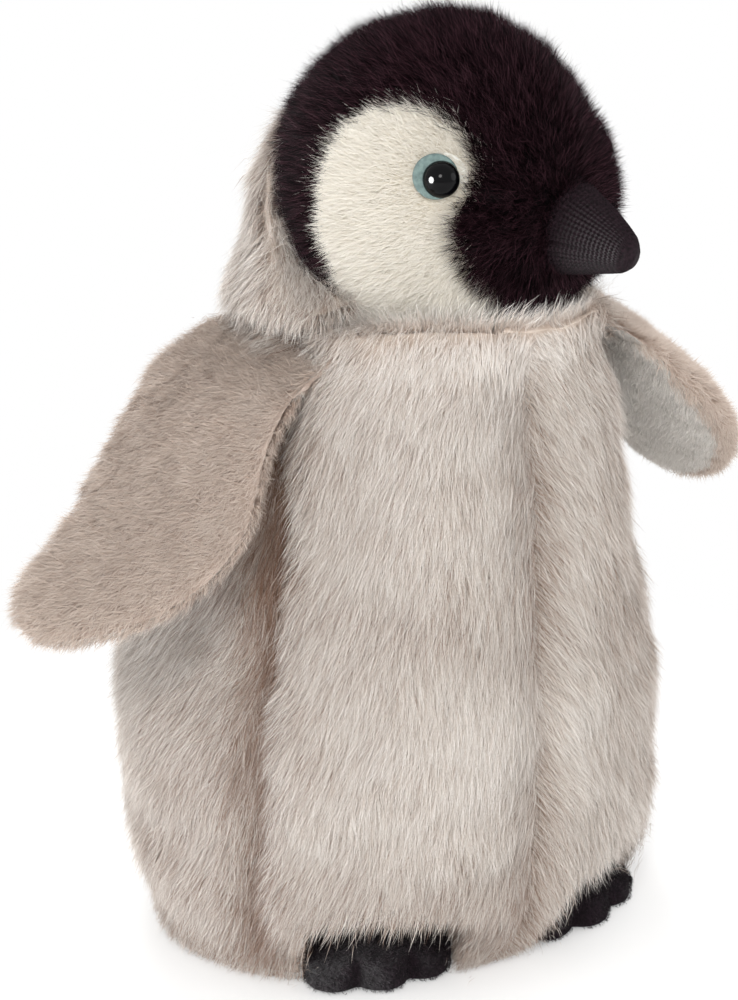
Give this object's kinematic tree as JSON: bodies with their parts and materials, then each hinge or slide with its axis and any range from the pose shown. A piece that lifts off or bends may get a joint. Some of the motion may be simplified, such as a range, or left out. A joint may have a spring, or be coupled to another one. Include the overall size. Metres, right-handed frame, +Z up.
{
  "type": "plush penguin",
  "caption": "Standing plush penguin with long pile, wings held out, black head with pale cheeks, knitted beak, glossy eyes and felt feet on a flat base.",
  "frame": {"origin": "centre of the flat base, on the surface the toy stands on", "axes": "+Z up through the head, -Y the way the belly faces, +X the toy's own left"},
  "size_m": [0.2117, 0.144, 0.2355],
  "materials": {
    "body_plush": "long pile plush",
    "base_plush": "short pile plush",
    "head_plush": "long pile plush",
    "face_plush": "long pile plush",
    "wing_outer_plush": "short pile plush",
    "wing_inner_plush": "short pile plush",
    "beak_knit": "ribbed knit",
    "foot_felt": "short nap",
    "eye_felt": "felt",
    "eye_gloss": "polished",
    "eye_washer": "plain",
    "filling": "loose fibre",
    "pellet_cloth": "woven",
    "pellets": "plain"
  },
  "bodies": {
    "torso": {"front_panel_left": "body_plush", "front_panel_right": "body_plush", "back_panel_left": "body_plush", "back_panel_right": "body_plush", "base_panel": "base_plush", "torso_filling": "filling", "pellet_bag": "pellet_cloth", "pellets": "pellets"},
    "neck": {"nape_panel_left": "body_plush", "nape_panel_right": "body_plush", "neck_filling": "filling"},
    "head": {"crown_panel": "head_plush", "muzzle_panel": "head_plush", "cheek_panel_left": "face_plush", "cheek_panel_right": "face_plush", "head_filling": "filling", "beak_upper": "beak_knit", "beak_lower": "beak_knit", "beak_filling": "filling", "eye_left": "eye_gloss", "eye_right": "eye_gloss", "eye_felt_left": "eye_felt", "eye_felt_right": "eye_felt", "eye_washer_left": "eye_washer", "eye_washer_right": "eye_washer"},
    "wing_left": {"wing_outer_left": "wing_outer_plush", "wing_inner_left": "wing_inner_plush", "wing_filling_left": "filling"},
    "wing_right": {"wing_outer_right": "wing_outer_plush", "wing_inner_right": "wing_inner_plush", "wing_filling_right": "filling"},
    "foot_left": {"foot_top_left": "foot_felt", "foot_sole_left": "foot_felt", "foot_filling_left": "filling"},
    "foot_right": {"foot_top_right": "foot_felt", "foot_sole_right": "foot_felt", "foot_filling_right": "filling"}
  },
  "joints": [
    {"name": "head_turn", "type": "hinge", "parent": "torso", "child": "neck", "pos_m": [0, -0.02483, 0.19401], "axis": [0, 0.1668, 0.986], "range_deg": [-50, 15], "stiffness_Nm_per_rad": 0.06},
    {"name": "head_nod", "type": "hinge", "parent": "neck", "child": "head", "pos_m": [0, -0.02483, 0.19401], "axis": [0.9397, 0.3372, -0.057], "range_deg": [-12, 10], "stiffness_Nm_per_rad": 0.08},
    {"name": "wing_left", "type": "hinge", "parent": "torso", "child": "wing_left", "pos_m": [0.04653, -0.019, 0.1595], "axis": [0.5592, -0.829, 0], "range_deg": [-2, 17], "stiffness_Nm_per_rad": 0.015},
    {"name": "wing_right", "type": "hinge", "parent": "torso", "child": "wing_right", "pos_m": [-0.04653, -0.019, 0.1595], "axis": [0.0349, 0.9994, 0], "range_deg": [-6, 36], "stiffness_Nm_per_rad": 0.015},
    {"name": "foot_left", "type": "hinge", "parent": "torso", "child": "foot_left", "pos_m": [0.02096, -0.01255, 0.0003], "axis": [-0.9659, -0.2588, 0], "range_deg": [0, 10], "stiffness_Nm_per_rad": 0.02},
    {"name": "foot_right", "type": "hinge", "parent": "torso", "child": "foot_right", "pos_m": [-0.02096, -0.01255, 0.0003], "axis": [-0.9659, 0.2588, 0], "range_deg": [0, 10], "stiffness_Nm_per_rad": 0.02}
  ]
}
